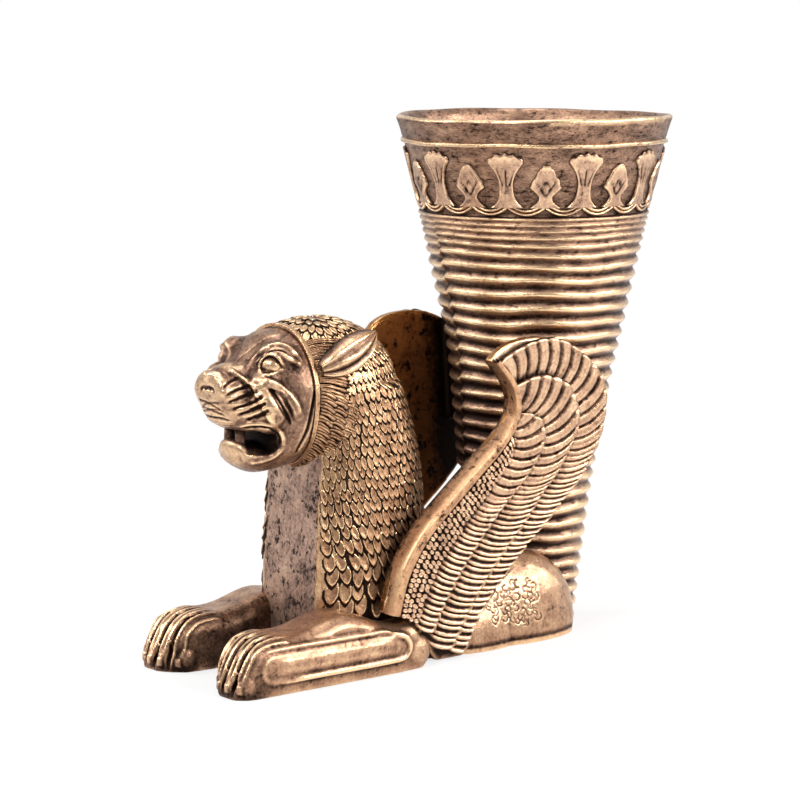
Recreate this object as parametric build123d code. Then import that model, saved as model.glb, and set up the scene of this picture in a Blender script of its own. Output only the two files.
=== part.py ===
"""Rhyton drinking cup: an upright ribbed horn carried by the forepart of a crouching winged lion.

Built in millimetres with +Z up. The lion looks along -Y and its left side is +X. While the pieces
are drawn, the axis of the horn is the Z axis; every piece is moved once, at the end, so that the
middle of the whole vessel stands over the origin.
"""
from build123d import *
import math
import os

# Horn cup
cup_height = 200.0
rim_radius = 53.5
lip_wall = 3.6
lip_height = 10.4
frieze_height = 26.6
frieze_top_radius = 50.4
frieze_bottom_radius = 43.6
foot_radius = 16.2
cup_wall = 4.5
cup_floor = 20.0
rib_height = 1.3
main_ribs = 25
fine_ribs = 5
fine_rib_pitch = 2.8
foot_band = 3.0

# Border of the cup
bead_radius = 0.9
sprig_relief = 1.2
flower_count = 10
flower_height = 19.4
flower_width = 13.0
bud_height = 15.4
bud_width = 11.2
stem_width = 3.6
cord_width = 1.1
cord_sag = 3.4
stem_rise = 5.0

# Neck, hood and torso
chest_setback = 118.5
chest_panel_width = 32.0
neck_width = 50.0
neck_depth = 55.0
neck_wall = 5.0
head_top = 128.5
torso_height = 44.0
torso_wall = 6.0
plug_thickness = 4.0

# Scales of the mane
scale_rows = 7
scale_length = 11.2
scale_width = 8.6
scale_relief = 0.6

# Head
face_overhang = 3.0
face_width = 45.0
face_height = 52.0
muzzle_length = 33.5
mouth_rise = 10.0
mouth_height = 8.6
jaw_setback = 8.5
cord_radius = 1.5
eye_spread = 12.6
eye_width = 11.0
ear_length = 25.0

# Forelegs
leg_reach = 49.0
leg_outer = 37.0
leg_width = 23.5
paw_height = 20.5
leg_rear = 83.0

# Wings
wing_inner = 27.0
wing_slab = 4.0
feather_step = 1.2
wing_edge_width = 6.0
wing_lean = 4.0
left_wing_top = 119.5
right_wing_top = 123.0
wing_root = 18.5
wing_length = 103.0

# Layer of slip left between luted pieces
slip_gap = 0.2

frieze_top = cup_height - lip_height
frieze_bottom = frieze_top - frieze_height
stem_foot = frieze_bottom + stem_rise
mouth_level = head_top - face_height + mouth_rise
neck_rise = head_top - 0.47 * face_height
chest_y = -chest_setback
neck_back = chest_y + neck_depth
face_y = chest_y - face_overhang
nose_y = face_y - muzzle_length
paw_y = chest_y - leg_reach
middle_shift = -(rim_radius + paw_y) / 2
flower_pitch = 360.0 / flower_count


def horn_radius(z):
    """Mean outer radius of the ribbed part of the horn at height z."""
    share = z / frieze_bottom
    return foot_radius + (frieze_bottom_radius - foot_radius) * (0.66 * share + 0.34 * share ** 2)


def frieze_radius(z):
    """Outer radius of the plain conical band at height z."""
    slope = (frieze_top_radius - frieze_bottom_radius) / (frieze_top - frieze_bottom)
    return frieze_bottom_radius + slope * (z - frieze_bottom)


def turned(edges):
    """Solid of revolution about Z from edges drawn as (radius, height)."""
    return revolve(Plane.XZ * make_face(edges), axis=Axis.Z)


def horn_body(grow):
    """Smooth solid that wraps the ribbed part of the horn, used to cut seats for it."""
    heights = [frieze_bottom * share for share in (0, 0.25, 0.5, 0.75, 1)]
    side = Spline(*[(horn_radius(z) + rib_height / 2 + grow, z) for z in heights])
    top = side @ 1
    return turned([side, Polyline((top.X, top.Y), (0, top.Y), (0, 0), ((side @ 0).X, 0))])


def cup_shell_part():
    """Ribbed horn with plain band, flared lip and a tapering bowl inside."""
    edges = []
    fine_start = frieze_bottom - fine_ribs * fine_rib_pitch
    main_pitch = (fine_start - foot_band) / main_ribs
    starts = [foot_band + index * main_pitch for index in range(main_ribs)]
    starts += [fine_start + index * fine_rib_pitch for index in range(fine_ribs)]
    ends = starts[1:] + [frieze_bottom]
    here = (horn_radius(0) - rib_height / 2, 0)
    for start, end in zip(starts, ends):
        pitch = end - start
        foot = (horn_radius(start + 0.2 * pitch) - rib_height / 2, start + 0.2 * pitch)
        crest = (horn_radius(start + 0.5 * pitch) + rib_height / 2, start + 0.5 * pitch)
        head = (horn_radius(start + 0.8 * pitch) - rib_height / 2, start + 0.8 * pitch)
        edges.append(Line(here, foot))
        edges.append(ThreePointArc(foot, crest, head))
        here = head
    lip_edge = cup_height - 2.0
    edges.append(Polyline(here, (frieze_radius(frieze_bottom), frieze_bottom),
                          (frieze_top_radius, frieze_top), (rim_radius, lip_edge)))
    inner_rim = (rim_radius - lip_wall, lip_edge)
    crown = (rim_radius - lip_wall / 2, cup_height)
    edges.append(ThreePointArc((rim_radius, lip_edge), crown, inner_rim))
    bowl_depth = frieze_bottom - cup_floor
    heights = [cup_floor + bowl_depth * share for share in (1, 0.75, 0.5, 0.25, 0)]
    bowl = [(horn_radius(z) - rib_height / 2 - cup_wall, z) for z in heights]
    edges.append(Line(inner_rim, bowl[0]))
    edges.append(Spline(*bowl))
    foot = (horn_radius(0) - rib_height / 2, 0)
    edges.append(Polyline(bowl[-1], (0, cup_floor - 3), (0, 0), foot))
    return turned(edges)


def sprig_shell():
    """Thin conical layer that the border pieces are cut from."""
    low = stem_foot - cord_sag - 1
    high = frieze_top - bead_radius
    outer = [(frieze_radius(z) + sprig_relief, z) for z in (low, high)]
    inner = [(frieze_radius(z), z) for z in (high, low)]
    return turned([Polyline(*outer, *inner, outer[0])])


def sprig(outline, layer):
    """One border piece: a flat outline pushed outwards and trimmed to the conical layer."""
    radius = frieze_radius(stem_foot)
    place = Plane(origin=(radius - 8, 0, stem_foot), x_dir=(0, 1, 0), z_dir=(1, 0, 0))
    return extrude(place * outline, amount=24) & layer


def half_mirrored(points):
    """Closed outline from the points of its right half, bottom to top."""
    left = [(-x, z) for x, z in reversed(points) if x > 0]
    return make_face(Polyline(*points, *left, close=True))


def flower_outline():
    """Goblet-shaped flower with a fan of five petal tips."""
    w = flower_width / 2
    h = flower_height
    stem = stem_width / 2
    return half_mirrored([(stem, 0), (stem * 0.9, 0.25 * h), (0.46 * w, 0.55 * h), (w, 0.80 * h),
                          (0.72 * w, 0.84 * h), (0.60 * w, 0.94 * h), (0.36 * w, 0.90 * h), (0, h)])


def bud_outline():
    """Pointed bud with stepped sides on a short stem."""
    w = bud_width / 2
    h = bud_height
    stem = stem_width / 2
    return half_mirrored([(stem, 0), (stem * 0.9, 0.22 * h), (w, 0.50 * h), (0.75 * w, 0.63 * h),
                          (0.62 * w, 0.76 * h), (0.30 * w, 0.92 * h), (0, h)])


def cord_outline(drop):
    """One hanging cord between two stems, lowered by drop."""
    pitch = 2 * math.pi * frieze_radius(stem_foot) / (2 * flower_count)
    reach = (pitch - stem_width) / 2 - slip_gap
    upper = ThreePointArc((-reach, -drop), (0, -cord_sag / 2 - drop), (reach, -drop))
    low = -drop - cord_width
    lower = ThreePointArc((reach, low), (0, low - cord_sag / 2), (-reach, low))
    return make_face([upper, Line(upper @ 1, lower @ 0), lower, Line(lower @ 1, upper @ 0)])


def around(piece, count, first):
    """Copies of a piece, evenly spaced round the horn from the angle first."""
    return [Rot(0, 0, first + index * 360.0 / count) * piece for index in range(count)]


def neck_section(z, front, back, half, panel, grow):
    """Level slice of the neck: flat chest in front, rounded sides and back."""
    front = front - grow
    back = back + grow
    half = half + grow
    panel = panel + grow / 2
    span = back - front
    chest = Line((-panel, front), (panel, front))
    curve = Spline((panel, front), (half * 0.97, front + 0.30 * span), (half, front + 0.52 * span),
                   (half * 0.78, front + 0.84 * span), (0, back), (-half * 0.78, front + 0.84 * span),
                   (-half, front + 0.52 * span), (-half * 0.97, front + 0.30 * span), (-panel, front))
    return Pos(0, 0, z) * make_face([chest, curve])


def neck_column(grow, top):
    """Neck from the floor to under the head, leaning forwards as it rises."""
    half = neck_width / 2
    panel = chest_panel_width / 2
    back = neck_back
    levels = [(0, chest_y - 1, back, half, panel),
              (0.29 * top, chest_y - 0.5, back, half, panel),
              (0.53 * top, chest_y + 0.5, back, half, panel * 0.9),
              (0.77 * top, chest_y + 1, back - 0.07 * neck_depth, half, panel * 0.8),
              (top, chest_y, back - 0.22 * neck_depth, half * 0.96, panel * 0.75)]
    return loft([neck_section(*level, grow) for level in levels])


def neck_form(grow):
    """Neck and hood together, without the hollow inside."""
    return neck_column(grow, neck_rise) + (hood_body(grow) & slab_y(face_y, 0))


def mane_scales_part():
    """Pointed scales on the sides and the back of the neck, in rows that alternate like roof tiles."""
    layer = neck_form(scale_relief) - neck_form(0)
    leaf = leaf_outline(scale_length, scale_width)
    pitch = 1.06 * scale_width
    first = paw_height + 0.9 * scale_length
    rise = (neck_rise - 0.3 * scale_length - first) / (scale_rows - 1)
    scales = []
    for row in range(scale_rows):
        z = first + row * rise
        clear_of_torso = z - scale_length / 2 > torso_height
        front = chest_y + 0.9 * scale_width + (row % 2) * pitch / 2
        rear = chest_y + (0.74 if clear_of_torso else 0.68) * neck_depth
        for column in range(int((rear - front) / pitch) + 1):
            place = Plane(origin=(0, front + column * pitch, z), x_dir=(0, 0, 1), z_dir=(1, 0, 0))
            scale_left = extrude(place * leaf, amount=neck_width) & layer
            scales += [scale_left, mirror(scale_left, Plane.YZ)]
        for step in (-1, 0, 1) if clear_of_torso else ():
            x = (step + (row % 2) / 2) * pitch
            place = Plane(origin=(x, chest_y + neck_depth / 2, z), x_dir=(0, 0, 1), z_dir=(0, 1, 0))
            scales.append(extrude(place * leaf, amount=neck_depth) & layer)
    return scales


def ellipsoid(center, sizes):
    """Ellipsoid with the given centre and half sizes."""
    return Pos(*center) * scale(Sphere(1), by=sizes)


def hood_body(grow):
    """Rounded back of the head under the mane."""
    rise = 0.52 * face_height
    sizes = (neck_width / 2 - 0.5 + grow, 0.62 * neck_depth + grow, rise + grow)
    return ellipsoid((0, face_y + 0.24 * neck_depth, head_top - rise), sizes)


def slab_y(y_low, y_high, half=80.0, z_low=-1.0, z_high=250.0):
    """Box between two Y planes."""
    size_y = y_high - y_low
    size_z = z_high - z_low
    return Pos(0, (y_low + y_high) / 2, (z_low + z_high) / 2) * Box(2 * half, size_y, size_z)


def face_section(y, half, z_low, z_high, square):
    """Upright slice of the head: a rounded oval, squarer as the exponent grows."""
    points = []
    for step in range(12):
        angle = math.radians(30 * step)
        cos = math.copysign(abs(math.cos(angle)) ** (2 / square), math.cos(angle))
        sin = math.copysign(abs(math.sin(angle)) ** (2 / square), math.sin(angle))
        points.append((half * cos, (z_low + z_high) / 2 + (z_high - z_low) / 2 * sin))
    place = Plane(origin=(0, y, 0), x_dir=(1, 0, 0), z_dir=(0, -1, 0))
    return place * make_face(Spline(*points, periodic=True))


def head_body():
    """Whole head in front of the face cord, before the mouth is cut."""
    half = face_width / 2
    low = head_top - face_height
    high = head_top - 2
    length = muzzle_length
    return loft([face_section(face_y, half, low, high, 2.1),
                 face_section(face_y - 0.26 * length, half * 0.93, low - 2, high - 1.5, 2.2),
                 face_section(face_y - 0.46 * length, half * 0.77, low - 2.5, high - 6, 2.3),
                 face_section(face_y - 0.68 * length, half * 0.60, low - 0.5, high - 13, 2.4),
                 face_section(face_y - 0.86 * length, half * 0.51, low + 5, high - 14.5, 2.5),
                 face_section(nose_y, half * 0.29, low + 19, high - 18, 2.5)])


def cord_ring():
    """Raised cord that covers the joint between face and mane."""
    half = face_width / 2 + cord_radius
    low = head_top - face_height - cord_radius
    high = head_top - 2 + cord_radius
    ring = extrude(face_section(face_y, half, low, high, 2.1), amount=2 * cord_radius)
    return ring - head_body()


def mouth_slot():
    """Open mouth: a slot through the head from side to side, rounded at its rear."""
    rear = face_y - 0.38 * muzzle_length
    profile = SlotOverall(60, mouth_height, align=(Align.MAX, Align.CENTER))
    return extrude(Plane.YZ * (Pos(rear, mouth_level) * profile), amount=60, both=True)


def jaw_zone():
    """Space below the mouth that holds the lower jaw."""
    return slab_y(nose_y - 20, face_y - 0.38 * muzzle_length, z_low=0, z_high=mouth_level)


def jaw_front():
    """Upright rounded block that gives the lower jaw its round front."""
    reach = muzzle_length * 0.62 - jaw_setback
    outline = Pos(0, face_y - 0.38 * muzzle_length) * Ellipse(0.42 * face_width, reach)
    return extrude(outline, amount=mouth_level)


def tongue_part():
    """Tongue lying in the mouth."""
    floor = mouth_level - mouth_height / 2
    rear = face_y - 0.38 * muzzle_length - mouth_height / 2 - slip_gap
    length = 0.2 * muzzle_length
    body = Pos(0, rear - length / 2, floor + 1.5) * Box(9, length, 3)
    return fillet(body.edges().group_by(Axis.Z)[-1], 1.2)


def fang(side):
    """Upright tooth post that fills the height of the mouth at the front corner of the jaw."""
    floor = mouth_level - mouth_height / 2
    place = (side * 0.18 * face_width, nose_y + jaw_setback + 4, floor)
    return Pos(*place) * Cone(2.0, 1.5, mouth_height, align=(Align.CENTER, Align.CENTER, Align.MIN))


def eye_ball(grow):
    """Almond eyeball on the left side of the face."""
    body = scale(Sphere(1), by=(3.0 + grow, eye_width / 2 + grow, 3.2 + grow))
    return Pos(eye_spread, face_y - 0.43 * muzzle_length, head_top - 12.5) * Rot(0, 0, 30) * body


def leaf_outline(length, width):
    """Pointed leaf lying along its own X axis."""
    upper = ThreePointArc((-length / 2, 0), (0, width / 2), (length / 2, 0))
    lower = ThreePointArc((length / 2, 0), (0, -width / 2), (-length / 2, 0))
    return make_face([upper, lower])


def ear_part():
    """Leaf-shaped left ear laid back along the hood, hollowed on its outer side."""
    lie = math.radians(18)
    outer = neck_width / 2 + 1
    place = Plane(origin=(outer - 9, face_y + ear_length / 2, head_top - 11),
                  x_dir=(0, math.cos(lie), math.sin(lie)), z_dir=(1, 0, 0))
    leaf = extrude(place * leaf_outline(ear_length, 11.6), amount=9, taper=10)
    scoop = place * (Pos(0, 0, 7.4) * leaf_outline(ear_length - 9, 5))
    return leaf - extrude(scoop, amount=5)


def leg_section(y, inner, outer, top, corner):
    """Upright slice of a foreleg, flat below and rounded above."""
    outline = make_face(Polyline((inner, 0), (outer, 0), (outer, top), (inner, top), close=True))
    outline = fillet(outline.vertices().group_by(Axis.Y)[-1], corner)
    return Plane(origin=(0, y, 0), x_dir=(1, 0, 0), z_dir=(0, -1, 0)) * outline


def leg_body():
    """Left foreleg from the tips of the toes to the rounded elbow."""
    inner = leg_outer - leg_width
    top = paw_height
    rear = -leg_rear
    outer = leg_outer
    rows = [(paw_y, inner + 10, outer - 5, 0.26 * top, 2.5),
            (paw_y + 4, inner + 4, outer - 1.5, 0.6 * top, 5),
            (paw_y + 11, inner + 0.5, outer, 0.95 * top, 6.5),
            (paw_y + 23, inner, outer, top, 7),
            (chest_y - 4, inner, outer, top + 4, 7),
            (chest_y + 11, inner, outer, top + 1, 7),
            (rear - 11, inner, outer - 0.5, top - 2.5, 7),
            (rear, inner + 4, outer - 2, 0.42 * top, 4)]
    return loft([leg_section(*row) for row in rows])


def foreleg_part():
    """Left foreleg with toe grooves and the raised panel on its outer side."""
    inner = leg_outer - leg_width
    flat = leg_outer - 0.4
    room = (2 * leg_width, 2 * chest_setback, 4 * paw_height)
    body = leg_body() & Pos(flat - leg_width, chest_y, 2 * paw_height) * Box(*room)
    middle = (paw_y + 9 - leg_rear - 7) / 2
    panel = Pos(middle, 9.8) * SlotOverall(-leg_rear - paw_y - 16, 10.4)
    place = Plane(origin=(leg_outer - 4, 0, 0), x_dir=(0, 1, 0), z_dir=(1, 0, 0))
    body += extrude(place * panel, amount=4.8)
    for step in (1, 2, 3):
        x = inner + leg_width * step / 4
        start = Vector(x, paw_y - 1.5, 0.12 * paw_height)
        run = Vector(x, paw_y + 15, 1.06 * paw_height) - start
        body -= extrude(Plane(origin=start, z_dir=run) * Circle(1.1), amount=run.length)
    return body


def wing_points(top, shares):
    """Points of a wing as (y, z), from shares of its length behind the root and of its height."""
    root = chest_y + wing_root
    return [(root + along * wing_length, up * top) for along, up in shares]


def wing_lead(top):
    """Leading edge of a wing from its root to the tip of the hook, drawn as (y, z)."""
    shares = [(0.029, 0.293), (0.078, 0.377), (0.146, 0.452), (0.243, 0.527), (0.369, 0.619),
              (0.485, 0.703), (0.539, 0.770), (0.524, 0.849), (0.437, 0.937)]
    return Spline((chest_y + wing_root, paw_height + 2), *wing_points(top, shares))


def wing_inside(top):
    """Inner border of the rolled leading edge, meeting the edge at the tip of the hook."""
    lead = wing_lead(top)
    inner = [(chest_y + wing_root + wing_edge_width, paw_height + 1)]
    for share in (0.12, 0.26, 0.42, 0.58, 0.7, 0.8, 0.9):
        point = lead @ share
        along = lead % share
        inner.append((point.X + along.Y * wing_edge_width, point.Y - along.X * wing_edge_width))
    return Spline(*inner, lead @ 1)


def wing_edge_outline(top):
    """Band between the leading edge and its inner border."""
    lead = wing_lead(top)
    inside = wing_inside(top)
    return make_face([lead, inside, Line(inside @ 0, lead @ 0)])


def wing_outline(front, top):
    """Outline of a wing behind its front line, which is the leading edge or its inner border."""
    start = wing_inside(top) @ 0
    shares = [(0.524, 0.987), (0.621, 1.0), (0.728, 0.992), (0.874, 0.933), (0.956, 0.858), (1.0, 0.766),
              (0.981, 0.674), (0.913, 0.569), (0.820, 0.469), (0.718, 0.385), (0.583, 0.293), (0.456, 0.176)]
    rear = -leg_rear
    trail = Spline(front @ 1, *wing_points(top, shares), (rear + 24, 0.39 * paw_height), (rear + 22, 0.5))
    floor = Line(trail @ 1, (rear + 9, 0.5))
    heel = [(rear + 2.5, 0.44 * paw_height), (rear - 5, paw_height - 2)]
    foot = Spline(floor @ 1, *heel, (start.X, start.Y))
    edges = [front, trail, floor, foot]
    if (start - front @ 0).length > 0.01:
        edges.append(Line(start, front @ 0))
    return make_face(edges)


def row_outline(top, share, shares, foot):
    """Outline of one row of feathers: part of the inner border and its own outer boundary."""
    inside = wing_inside(top).trim(0, share)
    outer = Spline(inside @ 1, *wing_points(top, shares), foot)
    return make_face([inside, outer, Line(outer @ 1, inside @ 0)])


def wing_layer(outline, start, thickness):
    """A layer of the left wing, leaning out with height."""
    place = Plane(origin=(start, 0, 0), x_dir=(0, 1, 0), z_dir=(1, 0, 0))
    layer = extrude(place * outline, amount=thickness)
    return Pos(wing_inner, 0, 0) * Rot(0, wing_lean, 0) * layer


def torso_body():
    """Low body between neck and horn, narrowing towards the foot of the horn."""
    half = wing_inner - slip_gap
    high = torso_height
    front = chest_y + 0.81 * neck_depth
    rear = 0.37 * foot_radius
    span = rear - front
    plan = half_mirrored([(half, front), (half, front + 0.3 * span), (0.757 * half, front + 0.9 * span),
                          (0.70 * half, rear)])
    side = make_face(Polyline((front, 0), (front, high), (front + 0.425 * span, high),
                              (front + 0.7 * span, 0.4 * high), (rear, 0.07 * high), (rear, 0), close=True))
    return extrude(plan, amount=high) & extrude(Plane.YZ * side, amount=half, both=True)


def haunch_body():
    """Domed haunch on the left flank."""
    sizes = (0.463 * wing_inner, 0.272 * wing_length, 0.58 * torso_height)
    middle = -0.33 * leg_rear
    place = Pos(0.61 * wing_inner, middle, 0.2 * torso_height)
    dome = place * Rot(0, 0, 4.0) * scale(Sphere(1), by=sizes)
    room = (1.5 * wing_inner, 0.8 * wing_length, 1.2 * torso_height)
    return dome & Pos(1.45 * wing_inner, middle, 0.6 * torso_height) * Box(*room)


pieces = {}
cup = cup_shell_part()
pieces["cup_shell"] = [cup]
bead_z = frieze_top
pieces["lip_bead"] = [turned([Pos(frieze_top_radius + 0.3, bead_z) * Circle(bead_radius).edge()]) - cup]
layer = sprig_shell()
flower = sprig(flower_outline(), layer)
bud = sprig(bud_outline(), layer)
cords = [sprig(cord_outline(drop), layer) for drop in (0.0, cord_width + 0.5)]
pieces["lotus_sprigs"] = around(flower, flower_count, -90)
pieces["bud_sprigs"] = around(bud, flower_count, -90 + flower_pitch / 2)
cord_first = -90 + flower_pitch / 4
pieces["festoon_cords"] = [copy for cord in cords for copy in around(cord, 2 * flower_count, cord_first)]

horn_seat = horn_body(slip_gap)
neck = neck_form(0)
cavity_rise = neck_rise - 1.6 * neck_wall
neck -= neck_column(-neck_wall, cavity_rise)
pieces["neck_shell"] = [neck]
pieces["mane_scales"] = mane_scales_part()
neck_seat = neck_column(slip_gap, neck_rise)

torso = torso_body() - horn_seat - neck_seat
hollow_half = wing_inner - torso_wall
hollow_front = neck_back + 1.25 * torso_wall
hollow_rear = -horn_radius(torso_height) - torso_wall
hollow_top = torso_height - torso_wall
hollow = slab_y(hollow_front, hollow_rear, hollow_half, -1, hollow_top)
pieces["torso_shell"] = [torso - hollow]
plug_half = hollow_half - slip_gap
torso_plug = slab_y(hollow_front + slip_gap, hollow_rear - slip_gap, plug_half, 0, plug_thickness)
pieces["torso_plug"] = [torso_plug]
plug_zone = slab_y(2 * chest_y, 0, neck_width, 0, plug_thickness)
pieces["neck_plug"] = [neck_column(-neck_wall - slip_gap, cavity_rise) & plug_zone]

head_whole = head_body() - mouth_slot() - eye_ball(slip_gap) - mirror(eye_ball(slip_gap), Plane.YZ)
jaw = head_whole & jaw_zone() & jaw_front()
pieces["lower_jaw"] = [jaw]
pieces["head_shell"] = [head_whole - jaw_zone()]
pieces["face_cord"] = [cord_ring()]
pieces["tongue"] = [tongue_part()]
pieces["fangs"] = [fang(side) for side in (1, -1)]

ear = ear_part() - neck - head_body()
for name, piece in {"eye": eye_ball(0), "ear": ear, "foreleg": foreleg_part() - neck_seat}.items():
    pieces["left_" + name] = [piece]
    pieces["right_" + name] = [mirror(piece, Plane.YZ)]

for side, top in (("left", left_wing_top), ("right", right_wing_top)):
    whole = wing_outline(wing_lead(top), top)
    seat_zone = Pos(wing_inner, -4, 0.81 * top) * Box(2 * wing_inner, 0.233 * wing_length, 0.335 * top)
    boss = wing_layer(whole, -12, 12.5) & seat_zone
    wing = {"wing": (wing_layer(whole, 0, wing_slab) + boss) - horn_seat,
            "wing_edge": wing_layer(wing_edge_outline(top), wing_slab, 3.4 * feather_step)}
    second = [(0.680, 0.874), (0.796, 0.837), (0.840, 0.770), (0.825, 0.669), (0.709, 0.527),
              (0.534, 0.385), (0.388, 0.276)]
    first = [(0.650, 0.782), (0.709, 0.686), (0.617, 0.586), (0.476, 0.460), (0.330, 0.335)]
    rows = {"primaries": wing_outline(wing_inside(top), top),
            "secondaries": row_outline(top, 0.9, second, (-leg_rear + 8, 0.63 * paw_height)),
            "coverts": row_outline(top, 0.8, first, (-leg_rear + 1, paw_height + 0.5))}
    for index, (name, outline) in enumerate(rows.items()):
        wing[name] = wing_layer(outline, wing_slab + index * feather_step, feather_step)
    wing["haunch"] = haunch_body() - torso_body() - wing_layer(whole, -4, 24) - horn_seat
    for name, piece in wing.items():
        pieces[side + "_" + name] = [piece if side == "left" else mirror(piece, Plane.YZ)]

os.makedirs("parts", exist_ok=True)
for name, solids in pieces.items():
    found = [solid for piece in solids for solid in piece.solids()]
    node = Pos(0, middle_shift, 0) * Compound(children=found)
    export_step(node, "parts/" + name + ".step")
    box = node.bounding_box()
    print(name, len(found), [round(v, 1) for v in (*box.min, *box.max)])
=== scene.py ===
# %% [markdown]
# # A rhyton drinking cup: ribbed horn on the forepart of a winged lion
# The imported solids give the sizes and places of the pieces. This file keeps their frame, replaces the
# plain solids with carved ones and gives them an antique-gold finish. All modelling is done in
# millimetres, and each finished piece is scaled to metres once.

# %% Load the frame
import math
import bpy
import bmesh
import numpy as np
from mathutils import Euler, Matrix, Vector
from mathutils.bvhtree import BVHTree


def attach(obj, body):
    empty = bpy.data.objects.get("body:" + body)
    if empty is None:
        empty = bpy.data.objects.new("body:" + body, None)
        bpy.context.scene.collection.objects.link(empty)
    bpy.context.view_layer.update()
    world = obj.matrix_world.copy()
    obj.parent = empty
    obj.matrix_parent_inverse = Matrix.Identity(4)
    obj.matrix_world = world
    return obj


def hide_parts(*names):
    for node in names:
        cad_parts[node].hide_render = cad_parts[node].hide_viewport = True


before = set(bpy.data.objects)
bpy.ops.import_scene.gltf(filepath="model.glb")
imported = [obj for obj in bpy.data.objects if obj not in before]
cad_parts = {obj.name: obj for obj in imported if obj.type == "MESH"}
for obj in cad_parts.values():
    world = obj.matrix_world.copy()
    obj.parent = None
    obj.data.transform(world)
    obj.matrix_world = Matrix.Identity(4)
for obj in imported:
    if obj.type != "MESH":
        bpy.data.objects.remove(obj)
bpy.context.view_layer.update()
scene = bpy.context.scene
scene.view_settings.view_transform = "Standard"
SIDES = ((1, "left"), (-1, "right"))

# %% [markdown]
# ## The camera
# The photograph looks at the lion's left front from a little above its middle, with a long lens from
# about a metre away. The camera comes first because the carving of the face is drawn through it.

# %% Camera at the photograph's viewpoint
photo_size = 800
camera_place = Vector((0.8232, -0.6726, 0.2476))
ahead = Vector((-0.7707, 0.6208, -0.1438)).normalized()
aside = ahead.cross(Vector((0, 0, 1))).normalized()
above = aside.cross(ahead)
camera_data = bpy.data.cameras.new("photo_camera")
camera_data.sensor_width = 36
camera_data.lens = 127.5
camera_data.clip_start = 0.05
camera = bpy.data.objects.new("photo_camera", camera_data)
turn = Matrix((aside, above, -ahead)).transposed().to_4x4()
camera.matrix_world = Matrix.Translation(camera_place) @ turn
scene.collection.objects.link(camera)
scene.camera = camera
focal = camera_data.lens / camera_data.sensor_width * photo_size
print("focal length in pixels:", round(focal))

# %% [markdown]
# ## Floor, backdrop light and lamps
# The vessel stands on a white sweep in soft light. A large plain floor carries the shadow. The world is
# white to the camera, a room with one bright side to reflections, and softer where it only lights the
# clay, so gold shines without washing out.

# %% Floor
floor_mesh = bpy.data.meshes.new("floor")
bm = bmesh.new()
bmesh.ops.create_grid(bm, x_segments=1, y_segments=1, size=3.0)
bm.to_mesh(floor_mesh)
bm.free()
floor = bpy.data.objects.new("floor", floor_mesh)
scene.collection.objects.link(floor)


# %% Short ways to build nodes
def nodes_of(holder):
    """A cleared node tree: ways to add a node, join sockets, do a sum and map a range."""
    holder.use_nodes = True
    tree = holder.node_tree
    tree.nodes.clear()
    join = tree.links.new

    def add(kind, **values):
        node = tree.nodes.new("ShaderNode" + kind)
        for name, value in values.items():
            if hasattr(node, name):
                setattr(node, name, value)
            else:
                node.inputs[name.replace("_", " ")].default_value = value
        return node

    def fuse(operation, *terms):
        node = add("Math", operation=operation)
        for socket, term in zip(node.inputs, terms):
            if isinstance(term, (int, float)):
                socket.default_value = term
            else:
                join(term, socket)
        return node.outputs[0]

    def span(value, start, end, first, last, **kind):
        node = add("MapRange", From_Min=start, From_Max=end, To_Min=first, To_Max=last, **kind)
        join(value, node.inputs["Value"])
        return node.outputs[0]

    return add, join, fuse, span


# %% World and white sweep
bright_side = (-0.45, 0.4, 0.8)
world = bpy.data.worlds.new("studio")
scene.world = world
add, join, fuse, span = nodes_of(world)
ray = add("LightPath").outputs
facing = add("VectorMath", operation="DOT_PRODUCT")
facing.inputs[1].default_value = bright_side
join(add("TexCoord").outputs["Generated"], facing.inputs[0])
level = add("Mix", A=0.32)
join(fuse("MAXIMUM", ray["Is Glossy Ray"], ray["Is Transmission Ray"]), level.inputs["Factor"])
join(span(facing.outputs["Value"], -0.5, 0.55, 0.04, 0.9), level.inputs["B"])
sky = add("Background", Color=(1, 1, 1, 1))
join(fuse("MAXIMUM", level.outputs[0], ray["Is Camera Ray"]), sky.inputs["Strength"])
join(sky.outputs[0], add("OutputWorld").inputs["Surface"])

floor_look = bpy.data.materials.new("white_sweep")
add, join, fuse, span = nodes_of(floor_look)
away = add("VectorMath", operation="LENGTH")
join(add("TexCoord").outputs["Object"], away.inputs[0])
fade = span(away.outputs["Value"], 0.12, 0.5, 0.72, 1.0, interpolation_type="SMOOTHSTEP")
blend = add("MixShader")
join(fuse("MULTIPLY", fade, add("LightPath").outputs["Is Camera Ray"]), blend.inputs["Fac"])
join(add("BsdfDiffuse", Color=(0.9, 0.9, 0.9, 1)).outputs[0], blend.inputs[1])
join(add("Emission", Color=(1, 1, 1, 1)).outputs[0], blend.inputs[2])
join(blend.outputs[0], add("OutputMaterial").inputs["Surface"])
floor_mesh.materials.append(floor_look)


# %% Lamps
def softbox(name, place, aim, size, power):
    """A square area lamp that faces a point."""
    lamp = bpy.data.lights.new(name, "AREA")
    lamp.shape = "SQUARE"
    lamp.size = size
    lamp.energy = power
    holder = bpy.data.objects.new(name, lamp)
    holder.location = place
    holder.rotation_euler = (Vector(aim) - Vector(place)).to_track_quat("-Z", "Y").to_euler()
    scene.collection.objects.link(holder)


softbox("key_softbox", (0.35, -0.95, 0.95), (0, -0.02, 0.09), 0.4, 9)
softbox("left_softbox", (-0.75, -0.85, 0.7), (0, 0.0, 0.1), 0.4, 6)
softbox("side_softbox", (1.2, 0.4, 0.7), (0, 0.03, 0.1), 0.35, 12.5)
softbox("top_softbox", (-0.1, 0.1, 1.3), (0, 0, 0.1), 0.6, 6.5)
softbox("rear_softbox", (0.75, 1.1, 0.55), (0, 0.05, 0.1), 0.35, 7)

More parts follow.
